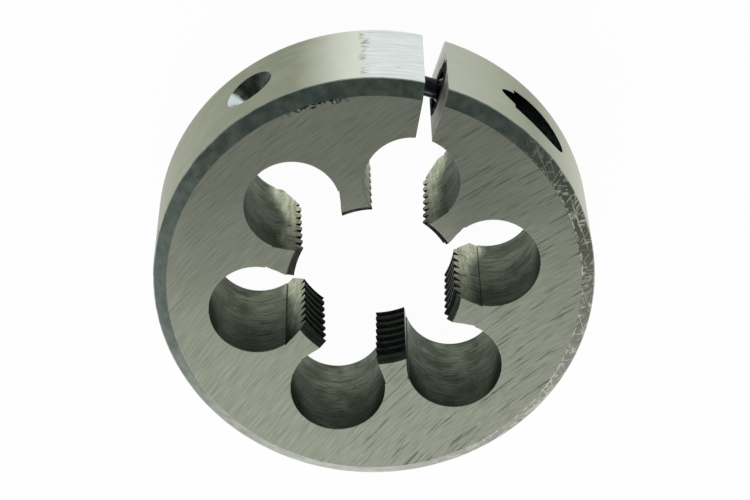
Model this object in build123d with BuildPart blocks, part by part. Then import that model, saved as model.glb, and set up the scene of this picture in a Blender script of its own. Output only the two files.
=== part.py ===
"""Adjustable round threading die with its adjusting screw.

The die lies on its back face: origin at the centre of that face, +Z up along the
thread axis to the entry face, +Y towards the adjusting slot. Millimetres.
"""
from build123d import *
from math import atan, ceil, cos, degrees, pi, radians, sin, sqrt, tan
import os

# Die blank; its turned profile is drawn at a bearing where the rim is plain
die_diameter = 45.0
die_thickness = 14.0
entry_chamfer = 1.4
back_chamfer = 0.4
profile_bearing = 300.0

# Cutting thread, metric 60 degree form, right hand
thread_diameter = 18.0
thread_pitch = 1.5
thread_flank_angle = 30.0
thread_depth_share = 5 / 8
thread_root_flat_share = 1 / 8
thread_start = 95.0
crest_taper = 0.3
entry_mouth_diameter = 17.9
entry_lead_angle = 96.0
back_mouth_diameter = 20.7
back_lead_angle = 60.0

# Chip clearance holes; the metal left between them carries the lands
flute_count = 6
flute_diameter = 9.75
flute_circle_diameter = 24.5

# Rake and heel faces, ground flat on the clearance holes' walls at both sides of each land
grind_setback_edge = 0.35
grind_setback_top = 0.12
grind_width = 3.0

# Adjusting slot, sawn from the rim into the first clearance hole
slot_square_wall = 0.55
slot_inner_width = 1.7
slot_outer_width = 2.45

# Adjusting screw, across the slot, and its hole
seat_height = 6.3
screw_axis_depth = 3.0
screw_diameter = 3.8
screw_clearance = 0.05
screw_length = 8.0
screw_end_chamfer = 0.3
point_diameter = 2.0
point_length = 1.9
point_dome = 0.25
point_gap = 0.03
driver_slot_width = 0.6
driver_slot_depth = 1.3
counterbore_diameter = 5.2
counterbore_start = 8.3

# Conical seats in the rim for the clamping screws of the stock
rim_seat_diameter = 5.7
rim_seat_angle = 90.0
rim_seat_bearings = (142.0, 322.0)

# Radii and angles that follow from the sizes above
die_radius = die_diameter / 2
screw_axis_radius = die_radius - screw_axis_depth
flute_radius = flute_diameter / 2
flute_circle_radius = flute_circle_diameter / 2
major_radius = thread_diameter / 2
flank_slope = tan(radians(thread_flank_angle))
sharp_height = thread_pitch / 2 / flank_slope
minor_radius = major_radius - sharp_height * thread_depth_share
entry_mouth_radius = entry_mouth_diameter / 2
back_mouth_radius = back_mouth_diameter / 2
back_minor_radius = minor_radius + crest_taper
entry_lead_depth = (entry_mouth_radius - minor_radius) / tan(radians(entry_lead_angle / 2))
back_lead_depth = (back_mouth_radius - back_minor_radius) / tan(radians(back_lead_angle / 2))
half_land_step = 180 / flute_count
flute_aside = flute_circle_radius * sin(radians(half_land_step))
flute_up = flute_circle_radius * cos(radians(half_land_step))
cut_past = 1.0


def flute_wall_aside(height):
    """Distance from a land's centre line to the clearance hole's wall, at a height on that line."""
    return flute_aside - sqrt(flute_radius**2 - (flute_up - height) ** 2)


def slot_slant_wall(height):
    """Place of the slot's slanted wall across the slot, at a height above the die's axis."""
    inner_height = flute_circle_radius + flute_radius
    widening = (slot_outer_width - slot_inner_width) / (die_radius - inner_height)
    return slot_square_wall - slot_inner_width - widening * (height - inner_height)


# Thread groove over one land: a V ring sector leaned to the thread's lead angle, so that over
# the short width of a land it runs along the right-hand helix
groove_past_crest = 0.3
groove_sector = 44.0
root_half = thread_pitch * thread_root_flat_share / 2
groove_foot_radius = minor_radius - groove_past_crest
groove_foot_half = root_half + (major_radius - groove_foot_radius) * flank_slope
lead_angle = degrees(atan(thread_pitch / (pi * (major_radius + minor_radius))))
with BuildPart() as thread_groove:
    with BuildSketch(Plane.XZ):
        Polygon(
            (groove_foot_radius, -groove_foot_half),
            (major_radius, -root_half),
            (major_radius, root_half),
            (groove_foot_radius, groove_foot_half),
            align=None,
        )
    revolve(axis=Axis.Z, revolution_arc=groove_sector)
leaned_groove = thread_groove.part.rotate(Axis.Z, -groove_sector / 2).rotate(Axis.X, lead_angle)


def land_grooves(bearing):
    """The grooves of the thread's turns where they cross the land at this bearing."""
    rise = thread_pitch * (bearing - thread_start) / 360
    first_turn = -ceil((groove_foot_half + rise) / thread_pitch)
    turns = ceil((die_thickness + 2 * thread_pitch) / thread_pitch)
    heights = [rise + thread_pitch * (first_turn + turn) for turn in range(turns)]
    return [leaned_groove.rotate(Axis.Z, bearing).translate((0, 0, height)) for height in heights]


profile_out = Vector(1, 0, 0).rotate(Axis.Z, profile_bearing)
profile_plane = Plane(origin=(0, 0, 0), x_dir=profile_out, z_dir=profile_out.cross(Axis.Z.direction))
with BuildPart() as die_body:
    # Turned blank with the core hole, its lead-in cone and the back countersink
    with BuildSketch(profile_plane):
        Polygon(
            (back_mouth_radius, 0),
            (die_radius - back_chamfer, 0),
            (die_radius, back_chamfer),
            (die_radius, die_thickness - entry_chamfer),
            (die_radius - entry_chamfer, die_thickness),
            (entry_mouth_radius, die_thickness),
            (minor_radius, die_thickness - entry_lead_depth),
            (back_minor_radius, back_lead_depth),
            align=None,
        )
    revolve(axis=Axis.Z)

    # Chip clearance holes, the first one on the slot side
    with BuildSketch():
        with PolarLocations(flute_circle_radius, flute_count, start_angle=90):
            Circle(flute_radius)
    extrude(amount=die_thickness, mode=Mode.SUBTRACT)

    # Rake and heel faces: flat grinds that leave each land with two straight edges
    grind_foot = minor_radius - cut_past
    grind_top = minor_radius + grind_width
    edge_aside = flute_wall_aside(minor_radius) - grind_setback_edge
    top_aside = flute_wall_aside(grind_top) - grind_setback_top
    foot_aside = edge_aside + (edge_aside - top_aside) * cut_past / grind_width
    with BuildSketch():
        with PolarLocations(0, flute_count, start_angle=90 - half_land_step):
            for side in (-1, 1):
                Polygon(
                    (grind_foot, side * foot_aside),
                    (grind_top, side * top_aside),
                    (grind_top, side * flute_aside),
                    (grind_foot, side * flute_aside),
                    align=None,
                )
    extrude(amount=die_thickness, mode=Mode.SUBTRACT)

    # Right-hand thread across the lands
    for land in range(flute_count):
        add(land_grooves(90 + half_land_step * (2 * land + 1)), mode=Mode.SUBTRACT)

    # Adjusting slot: one wall square to the rim, the other slanting outwards
    slot_top = die_radius + cut_past
    with BuildSketch():
        Polygon(
            (slot_square_wall, flute_circle_radius),
            (slot_square_wall, slot_top),
            (slot_slant_wall(slot_top), slot_top),
            (slot_slant_wall(flute_circle_radius), flute_circle_radius),
            align=None,
        )
    extrude(amount=die_thickness, mode=Mode.SUBTRACT)

    # Adjusting screw's hole from the slot outwards, and the counterbore for its driver
    hole_plane = Plane(origin=(0, screw_axis_radius, seat_height), z_dir=(1, 0, 0))
    with BuildSketch(hole_plane):
        Circle(screw_diameter / 2 + screw_clearance)
    extrude(amount=counterbore_start, mode=Mode.SUBTRACT)
    with BuildSketch(hole_plane.offset(counterbore_start)):
        Circle(counterbore_diameter / 2)
    extrude(amount=die_radius, mode=Mode.SUBTRACT)

    # Conical seats, sunk square to the rim and cut a little past it
    seat_slope = tan(radians(rim_seat_angle / 2))
    for bearing in rim_seat_bearings:
        outwards = Vector(1, 0, 0).rotate(Axis.Z, bearing)
        seat_centre = outwards * (die_radius + cut_past) + Vector(0, 0, seat_height)
        seat_radius = rim_seat_diameter / 2 + cut_past * seat_slope
        with Locations(Plane(origin=seat_centre, z_dir=outwards)):
            Cone(
                bottom_radius=0,
                top_radius=seat_radius,
                height=seat_radius / seat_slope,
                align=(Align.CENTER, Align.CENTER, Align.MAX),
                mode=Mode.SUBTRACT,
            )

# Adjusting screw: slotted shank, turned-down point with a domed end against the slanted wall
shank_radius = screw_diameter / 2
point_radius = point_diameter / 2
point_end = slot_slant_wall(screw_axis_radius) + point_gap
shank_start = point_length + shank_radius - point_radius
screw_plane = Plane(
    origin=(point_end, screw_axis_radius, seat_height), x_dir=(0, 1, 0), z_dir=(0, 0, -1)
)
with BuildPart() as adjusting_screw:
    with BuildSketch(screw_plane):
        with BuildLine():
            TangentArc((0, 0), (point_radius, point_dome), tangent=(1, 0))
            Polyline(
                (point_radius, point_dome),
                (point_radius, point_length),
                (shank_radius, shank_start),
                (shank_radius, screw_length - screw_end_chamfer),
                (shank_radius - screw_end_chamfer, screw_length),
                (0, screw_length),
                (0, 0),
            )
        make_face()
    revolve(axis=Axis(screw_plane.origin, screw_plane.y_dir))

    # Driver slot across the outer end
    end_face = adjusting_screw.faces().sort_by(Axis.X)[-1]
    with BuildSketch(Plane(end_face)):
        Rectangle(driver_slot_width, screw_diameter + cut_past)
    extrude(amount=-driver_slot_depth, mode=Mode.SUBTRACT)

os.makedirs("parts", exist_ok=True)
for name, piece in (("die_body", die_body), ("adjusting_screw", adjusting_screw)):
    piece.part.label = name
    export_step(piece.part, f"parts/{name}.step")
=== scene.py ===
"""Round threading die: a split steel ring with toothed lands and a black screw across its slot."""
import math

import bpy
from mathutils import Matrix, Vector


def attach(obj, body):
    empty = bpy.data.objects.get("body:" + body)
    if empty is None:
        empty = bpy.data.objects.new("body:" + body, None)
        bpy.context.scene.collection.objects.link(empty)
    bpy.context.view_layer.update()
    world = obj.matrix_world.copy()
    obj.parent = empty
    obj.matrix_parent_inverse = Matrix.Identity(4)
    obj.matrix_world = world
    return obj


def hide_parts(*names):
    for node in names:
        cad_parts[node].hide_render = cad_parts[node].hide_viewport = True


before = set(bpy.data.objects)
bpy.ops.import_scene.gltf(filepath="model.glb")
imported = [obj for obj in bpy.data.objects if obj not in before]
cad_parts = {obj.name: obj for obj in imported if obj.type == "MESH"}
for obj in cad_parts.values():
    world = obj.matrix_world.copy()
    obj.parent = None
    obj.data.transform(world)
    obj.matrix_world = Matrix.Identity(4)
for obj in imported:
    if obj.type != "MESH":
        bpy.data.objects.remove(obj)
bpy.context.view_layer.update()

scene = bpy.context.scene
scene.view_settings.view_transform = "Standard"


# Camera: a long lens from above the slot, rolled so that the slot points up the frame. It
# stands about 35 cm away, as for a small tool laid on a table.
camera_place = Vector((-0.048903, 0.142742, 0.313676))
camera_right = Vector((0.951992, 0.305965, 0.009889))
camera_up = Vector((-0.270672, 0.856392, -0.439692))
camera_lens = 158.65
camera_data = bpy.data.cameras.new("camera")
camera_data.lens = camera_lens
camera_data.sensor_width = 36.0
camera_data.clip_start = 0.01
camera = bpy.data.objects.new("camera", camera_data)
camera_back = camera_right.cross(camera_up)
camera.matrix_world = Matrix.Translation(camera_place) @ Matrix(
    (camera_right, camera_up, camera_back)
).transposed().to_4x4()
scene.collection.objects.link(camera)
scene.camera = camera


# Table and studio: a white table top under the die, white surroundings down low and a dimmer
# ceiling, with one soft lamp. The table keeps a faint shadow of the die.
def new_material(name):
    material = bpy.data.materials.new(name)
    material.use_nodes = True
    material.node_tree.nodes.clear()
    return material


def put(tree, kind, inputs=None, **settings):
    node = tree.nodes.new(kind)
    for key, value in settings.items():
        setattr(node, key, value)
    for key, value in (inputs or {}).items():
        if isinstance(value, bpy.types.NodeSocket):
            tree.links.new(value, node.inputs[key])
        else:
            node.inputs[key].default_value = value
    return node


table_size = 3.0
bpy.ops.object.select_all(action="DESELECT")
bpy.ops.mesh.primitive_plane_add(size=table_size)
table = bpy.context.object
table.name = "table"
table_finish = new_material("white_table")
tree = table_finish.node_tree
lit = put(tree, "ShaderNodeBsdfDiffuse", {"Color": (0.9, 0.9, 0.9, 1)})
white = put(tree, "ShaderNodeEmission", {"Color": (1, 1, 1, 1), "Strength": 1.0})
seen = put(tree, "ShaderNodeLightPath")
seen_share = put(
    tree, "ShaderNodeMath", {0: seen.outputs["Is Camera Ray"], 1: 0.97}, operation="MULTIPLY"
)
mirrored_share = put(
    tree, "ShaderNodeMath", {0: seen.outputs["Is Glossy Ray"], 1: 0.85}, operation="MULTIPLY"
)
share = put(
    tree,
    "ShaderNodeMath",
    {0: seen_share.outputs[0], 1: mirrored_share.outputs[0]},
    operation="MAXIMUM",
)
mixed = put(
    tree, "ShaderNodeMixShader", {0: share.outputs[0], 1: lit.outputs[0], 2: white.outputs[0]}
)
put(tree, "ShaderNodeOutputMaterial", {"Surface": mixed.outputs[0]})
table.data.materials.append(table_finish)

studio = bpy.data.worlds.new("studio")
scene.world = studio
studio.use_nodes = True
tree = studio.node_tree
tree.nodes.clear()
sky_place = put(tree, "ShaderNodeTexCoord")
sky_parts = put(tree, "ShaderNodeSeparateXYZ", {0: sky_place.outputs["Generated"]})
far_side = put(tree, "ShaderNodeMapRange", {0: sky_parts.outputs["Y"], 1: 1.0, 2: -1.0})
ceiling = put(tree, "ShaderNodeValToRGB", {0: far_side.outputs[0]})
ceiling.color_ramp.elements[0].position = 0.45
ceiling.color_ramp.elements[0].color = (0.34, 0.36, 0.35, 1)
ceiling.color_ramp.elements[1].position = 0.85
ceiling.color_ramp.elements[1].color = (1.0, 1.0, 0.97, 1)
low_share = put(
    tree,
    "ShaderNodeMapRange",
    {0: sky_parts.outputs["Z"], 1: -0.02, 2: 0.14},
    interpolation_type="SMOOTHSTEP",
)
sky = put(tree, "ShaderNodeMix", {0: low_share.outputs[0], 7: ceiling.outputs[0]}, data_type="RGBA")
sky.inputs[6].default_value = (0.95, 0.95, 0.93, 1)
room = put(tree, "ShaderNodeBackground", {"Color": sky.outputs[2], "Strength": 1.0})
backdrop = put(tree, "ShaderNodeBackground", {"Color": (1, 1, 1, 1), "Strength": 1.0})
seen = put(tree, "ShaderNodeLightPath")
mixed = put(
    tree,
    "ShaderNodeMixShader",
    {0: seen.outputs["Is Camera Ray"], 1: room.outputs[0], 2: backdrop.outputs[0]},
)
put(tree, "ShaderNodeOutputWorld", {"Surface": mixed.outputs[0]})


lamp_place = Vector((0.08, -0.80, 0.70))
lamp_data = bpy.data.lights.new("lamp_far", "AREA")
lamp_data.shape = "RECTANGLE"
lamp_data.size, lamp_data.size_y = (0.9, 0.4)
lamp_data.energy = 4.0
lamp_data.color = (1.0, 0.99, 0.96)
lamp = bpy.data.objects.new("lamp_far", lamp_data)
lamp.location = lamp_place
lamp.rotation_euler = (-lamp_place).to_track_quat("-Z", "Y").to_euler()
scene.collection.objects.link(lamp)


# Die body: one ring of hardened tool steel. Its faces and rim are ground bright; the turned
# chamfer, the chip holes and the thread keep the dark skin of hardening.
# The working copy has its corners joined, so that each kind of surface can have its finish.
die_radius = 22.5
die_thickness = 14.0
screw_mouth = (0.55, 19.5, 6.3)
cad_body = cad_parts["die_body"]
die = bpy.data.objects.new("die_ring", cad_body.data.copy())
scene.collection.objects.link(die)
bpy.ops.object.select_all(action="DESELECT")
die.select_set(True)
bpy.context.view_layer.objects.active = die
bpy.ops.object.mode_set(mode="EDIT")
bpy.ops.mesh.select_all(action="SELECT")
bpy.ops.mesh.remove_doubles(threshold=0.000002)
bpy.ops.object.mode_set(mode="OBJECT")
bpy.ops.mesh.customdata_custom_splitnormals_clear()
bpy.ops.object.shade_smooth_by_angle(angle=math.radians(28))
die.data.materials.clear()


def steel(name, base, roughness):
    """A metal finish with its shader; what varies over the surface is linked in afterwards."""
    material = new_material(name)
    tree = material.node_tree
    shader = put(
        tree,
        "ShaderNodeBsdfPrincipled",
        {"Base Color": (*base, 1), "Roughness": roughness, "Metallic": 1.0},
    )
    put(tree, "ShaderNodeOutputMaterial", {"Surface": shader.outputs[0]})
    return material, tree, shader


def maths(tree, operation, first, second=0.5):
    return put(tree, "ShaderNodeMath", {0: first, 1: second}, operation=operation).outputs[0]


def blend_colour(tree, factor, first, second, kind="MIX"):
    node = put(tree, "ShaderNodeMix", data_type="RGBA", blend_type=kind)
    for key, value in ((0, factor), (6, first), (7, second)):
        if isinstance(value, bpy.types.NodeSocket):
            tree.links.new(value, node.inputs[key])
        elif isinstance(value, tuple) and len(value) == 3:
            node.inputs[key].default_value = (*value, 1)
        else:
            node.inputs[key].default_value = value
    return node.outputs[2]


def band(tree, value, low, high, low_out=0.0, high_out=1.0):
    node = put(
        tree,
        "ShaderNodeMapRange",
        {0: value, 1: low, 2: high, 3: low_out, 4: high_out},
        interpolation_type="SMOOTHSTEP",
    )
    return node.outputs[0]


# Shared mask: where a point lies on the die, in millimetres. Along is the distance round the
# rim from the side opposite the slot, so that its join falls inside the slot.
place_group = bpy.data.node_groups.new("die_place", "ShaderNodeTree")
for socket in ("Point", "Round"):
    place_group.interface.new_socket(socket, in_out="OUTPUT", socket_type="NodeSocketVector")
for socket in ("Radius", "Along", "Height", "Aside"):
    place_group.interface.new_socket(socket, in_out="OUTPUT", socket_type="NodeSocketFloat")
tree = place_group
here = put(tree, "ShaderNodeTexCoord")
point = put(
    tree, "ShaderNodeVectorMath", {0: here.outputs["Object"], 3: 1000.0}, operation="SCALE"
)
parts = put(tree, "ShaderNodeSeparateXYZ", {0: point.outputs[0]})
flat_point = put(tree, "ShaderNodeCombineXYZ", {0: parts.outputs[0], 1: parts.outputs[1]})
radius = put(tree, "ShaderNodeVectorMath", {0: flat_point.outputs[0]}, operation="LENGTH")
turned_y = maths(tree, "MULTIPLY", parts.outputs[1], -1.0)
turn = maths(tree, "ARCTAN2", parts.outputs[0], turned_y)
along = maths(tree, "MULTIPLY", turn, die_radius)
round_point = put(
    tree, "ShaderNodeCombineXYZ", {0: along, 1: radius.outputs["Value"], 2: parts.outputs[2]}
)
put(
    tree,
    "NodeGroupOutput",
    {
        "Point": point.outputs[0],
        "Round": round_point.outputs[0],
        "Radius": radius.outputs["Value"],
        "Along": along,
        "Height": parts.outputs[2],
        "Aside": parts.outputs[0],
    },
)


def die_place(tree):
    return put(tree, "ShaderNodeGroup", node_tree=place_group).outputs


# Shared mask: streaks left by a grinding wheel or cutter, long one way and fine across.
streak_group = bpy.data.node_groups.new("tool_streaks", "ShaderNodeTree")
streak_group.interface.new_socket("Vector", in_out="INPUT", socket_type="NodeSocketVector")
streak_group.interface.new_socket("Stretch", in_out="INPUT", socket_type="NodeSocketVector")
streak_group.interface.new_socket("Detail", in_out="INPUT", socket_type="NodeSocketFloat")
streak_group.interface.new_socket("Streaks", in_out="OUTPUT", socket_type="NodeSocketFloat")
tree = streak_group
given = put(tree, "NodeGroupInput")
stretched = put(
    tree,
    "ShaderNodeVectorMath",
    {0: given.outputs["Vector"], 1: given.outputs["Stretch"]},
    operation="MULTIPLY",
)
noise = put(
    tree,
    "ShaderNodeTexNoise",
    {
        "Vector": stretched.outputs[0],
        "Scale": 1.0,
        "Detail": given.outputs["Detail"],
        "Roughness": 0.6,
    },
)
put(tree, "NodeGroupOutput", {"Streaks": noise.outputs["Fac"]})


def streaks(tree, vector, stretch, detail=3.0):
    node = put(tree, "ShaderNodeGroup", node_tree=streak_group)
    tree.links.new(vector, node.inputs["Vector"])
    node.inputs["Stretch"].default_value = stretch
    node.inputs["Detail"].default_value = detail
    return node.outputs["Streaks"]


def patches(tree, vector, scale, detail=2.0):
    return put(
        tree, "ShaderNodeTexNoise", {"Vector": vector, "Scale": scale, "Detail": detail}
    ).outputs["Fac"]


# Shared mask: thin broken scratches that run one way, kept to where patches of wear are.
scratch_group = bpy.data.node_groups.new("thin_scratches", "ShaderNodeTree")
scratch_group.interface.new_socket("Vector", in_out="INPUT", socket_type="NodeSocketVector")
for socket in ("Turn", "Fineness", "Width", "Reach"):
    scratch_group.interface.new_socket(socket, in_out="INPUT", socket_type="NodeSocketFloat")
scratch_group.interface.new_socket("Scratches", in_out="OUTPUT", socket_type="NodeSocketFloat")
tree = scratch_group
given = put(tree, "NodeGroupInput")
turned = put(
    tree,
    "ShaderNodeVectorRotate",
    {"Vector": given.outputs["Vector"], "Angle": given.outputs["Turn"]},
    rotation_type="Z_AXIS",
)
long_way = put(
    tree,
    "ShaderNodeVectorMath",
    {0: turned.outputs[0], 1: (1.0, 0.012, 0.1)},
    operation="MULTIPLY",
)
lines = put(
    tree,
    "ShaderNodeTexNoise",
    {"Vector": long_way.outputs[0], "Scale": given.outputs["Fineness"], "Detail": 1.0},
)
apart = maths(tree, "ABSOLUTE", maths(tree, "SUBTRACT", lines.outputs["Fac"], 0.5))
thin = put(
    tree, "ShaderNodeMapRange", {0: apart, 1: 0.0, 2: given.outputs["Width"], 3: 1.0, 4: 0.0}
)
broken = put(
    tree,
    "ShaderNodeTexNoise",
    {"Vector": turned.outputs[0], "Scale": 0.9, "Detail": 2.0},
)
kept = put(
    tree,
    "ShaderNodeMapRange",
    {
        0: broken.outputs["Fac"],
        1: given.outputs["Reach"],
        2: maths(tree, "ADD", given.outputs["Reach"], 0.08),
    },
)
scratch_mask = maths(tree, "MULTIPLY", thin.outputs[0], kept.outputs[0])
put(tree, "NodeGroupOutput", {"Scratches": scratch_mask})


def scratches(tree, vector, turn, fineness, width, reach):
    node = put(tree, "ShaderNodeGroup", node_tree=scratch_group)
    tree.links.new(vector, node.inputs["Vector"])
    for name, value in (("Turn", turn), ("Fineness", fineness), ("Width", width), ("Reach", reach)):
        node.inputs[name].default_value = value
    return node.outputs["Scratches"]


def grey(tree, value):
    return put(tree, "ShaderNodeCombineColor", {0: value, 1: value, 2: value}).outputs[0]


def relief(tree, shader, height, depth_mm, edge_mm=0.1):
    """Small relief on a surface, over corners that are rounded by a tenth of a millimetre."""
    corner = put(tree, "ShaderNodeBevel", {"Radius": edge_mm / 1000}, samples=4)
    bump = put(
        tree,
        "ShaderNodeBump",
        {
            "Height": height,
            "Distance": depth_mm / 1000,
            "Strength": 1.0,
            "Normal": corner.outputs[0],
        },
    )
    tree.links.new(bump.outputs[0], shader.inputs["Normal"])


# Ground faces: the wheel's lines run in long shallow arcs from one side of the face to the
# other. Towards the slot the face is darker, partly a duller grind and partly painted shade, and
# on the entry side a torn burr is left along the chamfer there.
grind_centre = (86.0, -50.0)
grind_radius = 100.0
face_finish, tree, shader = steel("ground_face", (0.3, 0.3, 0.27), 0.38)
spot = die_place(tree)
apart = put(
    tree,
    "ShaderNodeVectorMath",
    {0: spot["Point"], 1: (*grind_centre, die_thickness)},
    operation="SUBTRACT",
)
apart_parts = put(tree, "ShaderNodeSeparateXYZ", {0: apart.outputs[0]})
flat_apart = put(
    tree, "ShaderNodeCombineXYZ", {0: apart_parts.outputs[0], 1: apart_parts.outputs[1]}
)
wheel_radius = put(tree, "ShaderNodeVectorMath", {0: flat_apart.outputs[0]}, operation="LENGTH")
minus_x = maths(tree, "MULTIPLY", apart_parts.outputs[0], -1.0)
wheel_turn = maths(tree, "ARCTAN2", apart_parts.outputs[1], minus_x)
wheel_arc = maths(tree, "MULTIPLY", wheel_turn, grind_radius)
wheel_place = put(
    tree, "ShaderNodeCombineXYZ", {0: wheel_radius.outputs["Value"], 1: wheel_arc}
).outputs[0]
fine = streaks(tree, wheel_place, (9.5, 0.35, 1.0), 3.0)
broad = streaks(tree, wheel_place, (3.6, 0.14, 1.0), 5.0)
cloudy = patches(tree, spot["Point"], 0.1)
tone = blend_colour(
    tree, band(tree, fine, 0.32, 0.68), (0.185, 0.198, 0.162), (0.27, 0.287, 0.237)
)
# Painted shade: the face is painted up to 40% darker towards the slot, partly as a duller grind.
dull_and_shaded_side = put(
    tree, "ShaderNodeVectorMath", {0: spot["Point"], 1: (-0.4, 0.9, 0.0)}, operation="DOT_PRODUCT"
)
cloud_shift = maths(tree, "MULTIPLY", maths(tree, "SUBTRACT", cloudy, 0.5), 20.0)
dull_and_shaded_edge = maths(tree, "ADD", dull_and_shaded_side.outputs["Value"], cloud_shift)
dull_and_shade = band(tree, dull_and_shaded_edge, -8.0, 16.0, 1.0, 0.6)
tone = blend_colour(tree, 1.0, tone, grey(tree, dull_and_shade), "MULTIPLY")
dark_streak = maths(
    tree, "MULTIPLY", band(tree, broad, 0.57, 0.64), band(tree, spot["Aside"], -8.0, 14.0, 0.2, 0.8)
)
tone = blend_colour(tree, dark_streak, tone, (0.06, 0.063, 0.052))
chamfer_inside = 21.1
burr_start = -62.0
burr_end = -52.0
torn = band(tree, patches(tree, spot["Round"], 2.2, 3.0), 0.3, 0.7, 0.0, 0.6)
burr_place = maths(tree, "ADD", spot["Radius"], torn)
burr_length = maths(
    tree,
    "MULTIPLY",
    band(tree, spot["Along"], burr_start, burr_start + 3.0),
    band(tree, spot["Along"], burr_end - 5.0, burr_end, 1.0, 0.0),
)
burr_line = band(tree, burr_place, chamfer_inside + 0.06, chamfer_inside + 0.12)
burr = maths(tree, "MULTIPLY", burr_line, burr_length)
burr = maths(tree, "MULTIPLY", burr, band(tree, spot["Height"], 6.0, 8.0))
tone = blend_colour(tree, burr, tone, (0.008, 0.008, 0.008))
tree.links.new(tone, shader.inputs["Base Color"])
tree.links.new(band(tree, fine, 0.3, 0.7, 0.44, 0.32), shader.inputs["Roughness"])
relief(tree, shader, maths(tree, "SUBTRACT", fine, maths(tree, "MULTIPLY", burr, 3.0)), 0.004)

# Rim: turned and ground to a satin skin under a film of rust-proof oil. Beside the slot a strip
# has been dressed again with a fine stone, with streaks and pits; its near-white tone is partly a
# painted highlight. A haze beside it, the rim across the slot and the +X side are painted paler as
# painted reflection.
rim_finish, tree, shader = steel("ground_rim", (0.42, 0.42, 0.34), 0.34)
shader.inputs["Coat Weight"].default_value = 0.25
shader.inputs["Coat Roughness"].default_value = 0.22
shader.inputs["Specular Tint"].default_value = (0.8, 0.82, 0.72, 1)
spot = die_place(tree)
satin = streaks(tree, spot["Round"], (0.25, 1.0, 5.0), 4.0)
mottled = patches(tree, spot["Round"], 0.35, 4.0)
tone = blend_colour(
    tree, band(tree, satin, 0.3, 0.7), (0.175, 0.192, 0.122), (0.225, 0.245, 0.16)
)
mottling = grey(tree, band(tree, mottled, 0.3, 0.7, 0.88, 1.1))
tone = blend_colour(tree, 1.0, tone, mottling, "MULTIPLY")
strip_edge_along = -62.3
wander = patches(tree, spot["Round"], 0.5, 3.0)
strip_end = maths(
    tree, "SUBTRACT", maths(tree, "ADD", spot["Along"], wander), strip_edge_along
)
# Painted highlight and reflection: a pale haze beside the strip, the rim across the slot and the +X
# side are painted paler.
painted_haze = band(tree, strip_end, 0.0, 9.0, 1.0, 0.0)
painted_far_slot_side = band(tree, spot["Along"], 55.0, 70.0, 0.0, 0.5)
painted_lit_side = band(tree, spot["Aside"], 9.0, 19.0, 0.1, 0.6)
painted_paler_share = maths(tree, "MAXIMUM", painted_haze, maths(tree, "MAXIMUM", painted_far_slot_side, painted_lit_side))
tone = blend_colour(tree, painted_paler_share, tone, (0.83, 0.86, 0.76))
# The dressed strip is real, but its near-white, bluish tone is partly a painted highlight.
strip_and_highlight = band(tree, strip_end, -0.25, 0.25, 1.0, 0.0)
stone = streaks(tree, spot["Round"], (0.35, 1.0, 7.0), 5.0)
stone_and_highlight_tone = blend_colour(
    tree, band(tree, stone, 0.35, 0.65), (0.70, 0.78, 0.81), (0.95, 0.99, 1.0)
)
pits = band(tree, streaks(tree, spot["Round"], (0.9, 1.0, 6.0), 5.0), 0.67, 0.72)
stone_and_highlight_tone = blend_colour(tree, maths(tree, "MULTIPLY", pits, 0.7), stone_and_highlight_tone, (0.16, 0.17, 0.17))
tone = blend_colour(tree, strip_and_highlight, tone, stone_and_highlight_tone)
seam = maths(
    tree,
    "MULTIPLY",
    band(tree, strip_end, -0.7, -0.2),
    band(tree, strip_end, 0.2, 0.6, 1.0, 0.0),
)
seam_marks = band(tree, streaks(tree, spot["Round"], (1.4, 1.0, 2.8), 4.0), 0.48, 0.62)
seam = maths(tree, "MULTIPLY", maths(tree, "MULTIPLY", seam, seam_marks), 0.6)
tone = blend_colour(tree, seam, tone, (0.12, 0.14, 0.13))
tree.links.new(tone, shader.inputs["Base Color"])
tree.links.new(band(tree, strip_and_highlight, 0.0, 1.0, 0.36, 0.28), shader.inputs["Roughness"])
relief(tree, shader, maths(tree, "ADD", satin, stone), 0.005)

# Entry chamfer: left as turned, with the dark skin of hardening, painted paler on the side away
# from the slot as a painted reflection. One side has been handled more and is brown, nicked and
# scratched.
chamfer_finish, tree, shader = steel("dark_chamfer", (0.05, 0.06, 0.05), 0.36)
spot = die_place(tree)
skin = patches(tree, spot["Point"], 0.9, 5.0)
# Painted reflection: the side away from the slot is painted pale.
lit_side_direction = put(
    tree, "ShaderNodeVectorMath", {0: spot["Point"], 1: (0.5, -0.87, 0.0)}, operation="DOT_PRODUCT"
)
lit_side_edge = maths(
    tree, "ADD", lit_side_direction.outputs["Value"], maths(tree, "MULTIPLY", skin, 4.0)
)
painted_lit_side = band(tree, lit_side_edge, 0.0, 24.0)
skin_share = band(tree, skin, 0.3, 0.7)
dark_skin = blend_colour(tree, skin_share, (0.085, 0.107, 0.094), (0.13, 0.157, 0.14))
painted_reflection_tone = blend_colour(tree, skin_share, (0.36, 0.38, 0.34), (0.54, 0.56, 0.51))
tone = blend_colour(tree, painted_lit_side, dark_skin, painted_reflection_tone)
handled = band(tree, spot["Aside"], 6.0, 18.0)
tone = blend_colour(tree, maths(tree, "MULTIPLY", handled, 0.6), tone, (0.13, 0.125, 0.09))
worn = maths(
    tree,
    "MAXIMUM",
    scratches(tree, spot["Point"], 0.5, 1.6, 0.03, 0.44),
    maths(
        tree,
        "MAXIMUM",
        scratches(tree, spot["Point"], 1.5, 1.9, 0.03, 0.46),
        scratches(tree, spot["Point"], 2.5, 1.4, 0.025, 0.44),
    ),
)
nicks = band(tree, patches(tree, spot["Point"], 2.6, 3.0), 0.68, 0.73)
worn_share = band(tree, handled, 0.0, 1.0, 0.05, 0.9)
worn = maths(tree, "MULTIPLY", maths(tree, "MAXIMUM", worn, nicks), worn_share)
tone = blend_colour(tree, worn, tone, (0.62, 0.62, 0.52))
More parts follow.
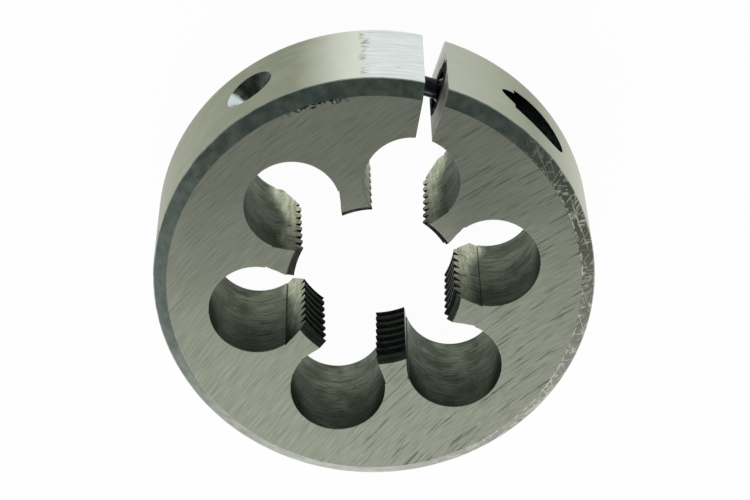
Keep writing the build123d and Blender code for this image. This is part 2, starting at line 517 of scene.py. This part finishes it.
# Painted highlight: a broken pale line along the chamfer's outer edge, where it meets the rim; the
# pale chips on the inner edge are real nicks.
painted_edge_highlight = maths(
    tree,
    "MULTIPLY",
    band(tree, spot["Radius"], die_radius - 0.12, die_radius - 0.08),
    band(tree, patches(tree, spot["Round"], 0.6, 2.0), 0.35, 0.6, 0.3, 0.8),
)
inner_chips = maths(
    tree,
    "MULTIPLY",
    band(tree, spot["Radius"], chamfer_inside + 0.1, chamfer_inside + 0.16, 1.0, 0.0),
    band(tree, patches(tree, spot["Round"], 2.2, 3.0), 0.5, 0.58),
)
inner_chips = maths(tree, "MULTIPLY", inner_chips, handled)
tone = blend_colour(tree, maths(tree, "MAXIMUM", painted_edge_highlight, inner_chips), tone, (0.6, 0.64, 0.58))
tree.links.new(tone, shader.inputs["Base Color"])
tree.links.new(band(tree, skin, 0.3, 0.7, 0.3, 0.42), shader.inputs["Roughness"])
relief(tree, shader, maths(tree, "SUBTRACT", skin, worn), 0.015, 0.14)

# Chip holes: drilled and reamed, a dark skin over fine rings that the drill left. Next to each
# land the wall has been ground flat for the rake and heel, and is paler there. All of the wall
# is painted lighter towards the back and darker towards the entry: painted shade.
hole_finish, tree, shader = steel("drilled_wall", (0.1, 0.1, 0.09), 0.3)
shader.inputs["Specular Tint"].default_value = (0.62, 0.64, 0.6, 1)
spot = die_place(tree)
rings = streaks(tree, spot["Point"], (0.3, 0.3, 5.0), 5.0)
deep_rings = band(tree, streaks(tree, spot["Point"], (0.9, 0.9, 4.6), 5.0), 0.59, 0.64)
smeared = patches(tree, spot["Point"], 0.35, 3.0)
tone = blend_colour(
    tree, band(tree, rings, 0.3, 0.7), (0.042, 0.048, 0.036), (0.088, 0.101, 0.076)
)
smears = grey(tree, band(tree, smeared, 0.35, 0.65, 0.6, 1.4))
tone = blend_colour(tree, 1.0, tone, smears, "MULTIPLY")
ground_edge = maths(tree, "ADD", spot["Radius"], maths(tree, "MULTIPLY", smeared, 1.2))
towards_back = band(tree, spot["Height"], 1.0, 6.5, 1.5, 0.0)
ground = band(tree, maths(tree, "SUBTRACT", ground_edge, towards_back), 9.9, 11.4, 0.9, 0.0)
ground_lines = streaks(tree, spot["Point"], (3.0, 3.0, 0.4), 3.0)
ground_tone = blend_colour(
    tree, band(tree, ground_lines, 0.3, 0.7), (0.25, 0.265, 0.19), (0.44, 0.46, 0.35)
)
tone = blend_colour(tree, ground, tone, ground_tone)
deep_share = maths(tree, "MULTIPLY", deep_rings, band(tree, spot["Height"], 3.0, 9.0, 0.35, 0.85))
tone = blend_colour(tree, deep_share, tone, (0.010, 0.011, 0.009))
# Painted shade: the wall is painted darker towards the entry face and lighter towards the back.
uneven_shade_height = maths(tree, "ADD", spot["Height"], maths(tree, "MULTIPLY", smeared, 5.0))
painted_shade_by_height = grey(tree, band(tree, uneven_shade_height, 2.0, 16.5, 1.9, 0.45))
tone = blend_colour(tree, 1.0, tone, painted_shade_by_height, "MULTIPLY")
tree.links.new(tone, shader.inputs["Base Color"])
tree.links.new(band(tree, rings, 0.3, 0.7, 0.38, 0.26), shader.inputs["Roughness"])
relief(tree, shader, maths(tree, "SUBTRACT", rings, deep_rings), 0.025, 0.02)

# Thread: cut before hardening, so black, with dim worn crests. The crests recede towards the
# back, and the mask follows them.
crest_radius = 8.19
crest_top_height = 13.3
crest_slope = 0.03
thread_finish, tree, shader = steel("black_thread", (0.02, 0.02, 0.02), 0.3)
shader.inputs["Specular Tint"].default_value = (0.4, 0.42, 0.4, 1)
spot = die_place(tree)
grain = patches(tree, spot["Point"], 3.0, 3.0)
below_top = maths(tree, "SUBTRACT", crest_top_height, spot["Height"])
taper = maths(tree, "MULTIPLY", below_top, crest_slope)
crest_apart = maths(tree, "SUBTRACT", maths(tree, "SUBTRACT", spot["Radius"], crest_radius), taper)
crest = maths(
    tree,
    "MULTIPLY",
    band(tree, crest_apart, 0.0, 0.05, 1.0, 0.0),
    band(tree, patches(tree, spot["Point"], 1.2, 2.0), 0.3, 0.6, 0.45, 1.0),
)
tone = blend_colour(tree, band(tree, grain, 0.3, 0.7), (0.006, 0.007, 0.007), (0.018, 0.020, 0.019))
tone = blend_colour(tree, crest, tone, (0.036, 0.039, 0.035))
tree.links.new(tone, shader.inputs["Base Color"])
tree.links.new(band(tree, grain, 0.3, 0.7, 0.25, 0.42), shader.inputs["Roughness"])
relief(tree, shader, grain, 0.01, 0.04)

# Lead-in cone at the entry: turned before hardening, dark grey with faint turning lines.
lead_finish, tree, shader = steel("turned_lead", (0.06, 0.06, 0.05), 0.34)
spot = die_place(tree)
turned_lines = streaks(tree, spot["Point"], (0.8, 0.8, 7.0), 3.0)
tone = blend_colour(
    tree, band(tree, turned_lines, 0.3, 0.7), (0.025, 0.028, 0.023), (0.06, 0.064, 0.053)
)
tree.links.new(tone, shader.inputs["Base Color"])
relief(tree, shader, turned_lines, 0.01)

# Slot walls: sawn and then filed, pale and rough. Where the screw's hole breaks out of the square
# wall, a ragged black ring round its mouth is painted shade of the hole.
shaded_mouth_radius = 3.7
slot_finish, tree, shader = steel("sawn_slot", (0.5, 0.5, 0.42), 0.5)
spot = die_place(tree)
sawn = streaks(tree, spot["Point"], (2.0, 0.6, 2.5), 5.0)
scars = band(tree, streaks(tree, spot["Point"], (2.0, 1.2, 0.6), 5.0), 0.62, 0.7)
tone = blend_colour(tree, band(tree, sawn, 0.3, 0.7), (0.50, 0.51, 0.44), (0.74, 0.75, 0.68))
tone = blend_colour(tree, maths(tree, "MULTIPLY", scars, 0.8), tone, (0.06, 0.07, 0.06))
from_screw = put(
    tree, "ShaderNodeVectorMath", {0: spot["Point"], 1: screw_mouth}, operation="DISTANCE"
)
# Painted shade: a ragged black ring round the screw's hole, wider than the hole itself.
ragged = maths(tree, "MULTIPLY", patches(tree, spot["Point"], 1.4, 4.0), 1.6)
shaded_mouth_edge = maths(tree, "ADD", from_screw.outputs["Value"], ragged)
painted_mouth_shade = band(tree, shaded_mouth_edge, shaded_mouth_radius, shaded_mouth_radius + 0.15, 1.0, 0.0)
tone = blend_colour(tree, painted_mouth_shade, tone, (0.004, 0.004, 0.004))
tree.links.new(tone, shader.inputs["Base Color"])
tree.links.new(band(tree, painted_mouth_shade, 0.0, 1.0, 1.0, 0.0), shader.inputs["Metallic"])
tree.links.new(band(tree, painted_mouth_shade, 0.0, 1.0, 0.5, 1.0), shader.inputs["Roughness"])
relief(tree, shader, maths(tree, "SUBTRACT", sawn, maths(tree, "MAXIMUM", scars, painted_mouth_shade)), 0.03)

# Screw hole and counterbore: drilled, deep in shade and blackened.
bore_finish, tree, shader = steel("blackened_bore", (0.012, 0.013, 0.012), 0.6)
shader.inputs["Specular Tint"].default_value = (0.1, 0.1, 0.1, 1)
spot = die_place(tree)
grain = patches(tree, spot["Point"], 2.0, 4.0)
tone = blend_colour(tree, band(tree, grain, 0.3, 0.7), (0.006, 0.007, 0.006), (0.022, 0.025, 0.022))
far_end = band(tree, spot["Aside"], 15.8, 17.5, 0.0, 0.8)
tone = blend_colour(tree, far_end, tone, (0.06, 0.065, 0.055))
tree.links.new(tone, shader.inputs["Base Color"])
relief(tree, shader, grain, 0.02)

# Rim seats: cones cut by a spotting drill, dark, with a bright bluish crescent on one side that
# is a painted highlight.
seat_finish, tree, shader = steel("spotted_seat", (0.2, 0.21, 0.19), 0.25)
spot = die_place(tree)
grain = patches(tree, spot["Point"], 1.2, 4.0)
tone = blend_colour(tree, band(tree, grain, 0.3, 0.7), (0.025, 0.03, 0.026), (0.07, 0.078, 0.068))
# Painted highlight: a bright bluish crescent on one side of the seat.
highlight_side = put(
    tree, "ShaderNodeVectorMath", {0: spot["Round"], 1: (0.75, 0.0, 0.66)}, operation="DOT_PRODUCT"
)
highlight_edge = maths(
    tree, "ADD", highlight_side.outputs["Value"], maths(tree, "MULTIPLY", grain, 0.8)
)
painted_crescent_highlight = band(tree, highlight_edge, -32.9, -32.3)
tone = blend_colour(tree, maths(tree, "MULTIPLY", painted_crescent_highlight, 0.9), tone, (0.72, 0.80, 0.82))
tree.links.new(tone, shader.inputs["Base Color"])
relief(tree, shader, grain, 0.01)

finishes = {
    "face": face_finish,
    "rim": rim_finish,
    "chamfer": chamfer_finish,
    "hole": hole_finish,
    "thread": thread_finish,
    "lead": lead_finish,
    "slot": slot_finish,
    "bore": bore_finish,
    "seat": seat_finish,
}
finish_numbers = {}
for number, (kind, material) in enumerate(finishes.items()):
    die.data.materials.append(material)
    finish_numbers[kind] = number

chip_hole_radius = 4.875
chip_hole_circle = 12.25
seat_bearings = (142.0, 322.0)


def toward(bearing):
    """The level direction at a bearing, in degrees from +X."""
    return Vector((math.cos(math.radians(bearing)), math.sin(math.radians(bearing))))


chip_holes = [toward(90 + 60 * i) * chip_hole_circle for i in range(6)]


def surface_kind(centre, normal):
    """Which surface of the die a facet belongs to, from its middle and its direction."""
    spot = Vector((centre.x, centre.y))
    out = spot.length
    outward = (normal.x * spot.x + normal.y * spot.y) / out
    if abs(normal.z) > 0.95 and (centre.z > die_thickness - 0.1 or centre.z < 0.1):
        return "face"
    if out > 22.2 and outward > 0.99:
        return "rim"
    if out > 21.2 and 0.5 < normal.z < 0.9 and centre.z > 12.5:
        return "chamfer"
    if out > 21.8 and normal.z < -0.5 and centre.z < 0.5:
        return "chamfer"
    if out > 18.5:
        for bearing in seat_bearings:
            if spot.normalized().dot(toward(bearing)) > 0.985:
                return "seat"
    if centre.y > 16.0 and abs(centre.x) < 2.3 and abs(normal.z) < 0.05 and abs(normal.x) > 0.95:
        return "slot"
    bore_apart = math.hypot(centre.y - screw_mouth[1], centre.z - screw_mouth[2])
    if centre.x > 0.5 and bore_apart < 3.0 and centre.y > 15.0:
        return "bore"
    if abs(normal.z) < 0.05 and outward < -0.9 and 11.1 < out < 11.7:
        return "lead"
    if abs(normal.z) < 0.1:
        for hole in chip_holes:
            from_hole = spot - hole
            if abs(from_hole.length - chip_hole_radius) < 0.025:
                if abs(from_hole.normalized().dot(Vector((normal.x, normal.y)))) > 0.99:
                    return "hole"
    if abs(normal.z) < 0.05 and abs(outward) < 0.9 and out > 8.0:
        return "hole"
    if centre.z > 13.2 and normal.z > 0.4 and out > 8.15:
        return "lead"
    return "thread"


for facet in die.data.polygons:
    facet.material_index = finish_numbers[surface_kind(facet.center * 1000, facet.normal)]
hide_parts("die_body")
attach(die, "die")


# Adjusting screw: turned steel, blackened and oiled, so that it has a soft gloss.
screw_finish, tree, shader = steel("black_oxide", (0.012, 0.012, 0.014), 0.2)
spot = die_place(tree)
grain = patches(tree, spot["Point"], 2.5, 3.0)
tone = blend_colour(tree, band(tree, grain, 0.3, 0.7), (0.008, 0.009, 0.012), (0.03, 0.034, 0.04))
tree.links.new(tone, shader.inputs["Base Color"])
tree.links.new(band(tree, grain, 0.3, 0.7, 0.16, 0.3), shader.inputs["Roughness"])
relief(tree, shader, grain, 0.008, 0.08)
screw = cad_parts["adjusting_screw"]
screw.data.materials.clear()
screw.data.materials.append(screw_finish)
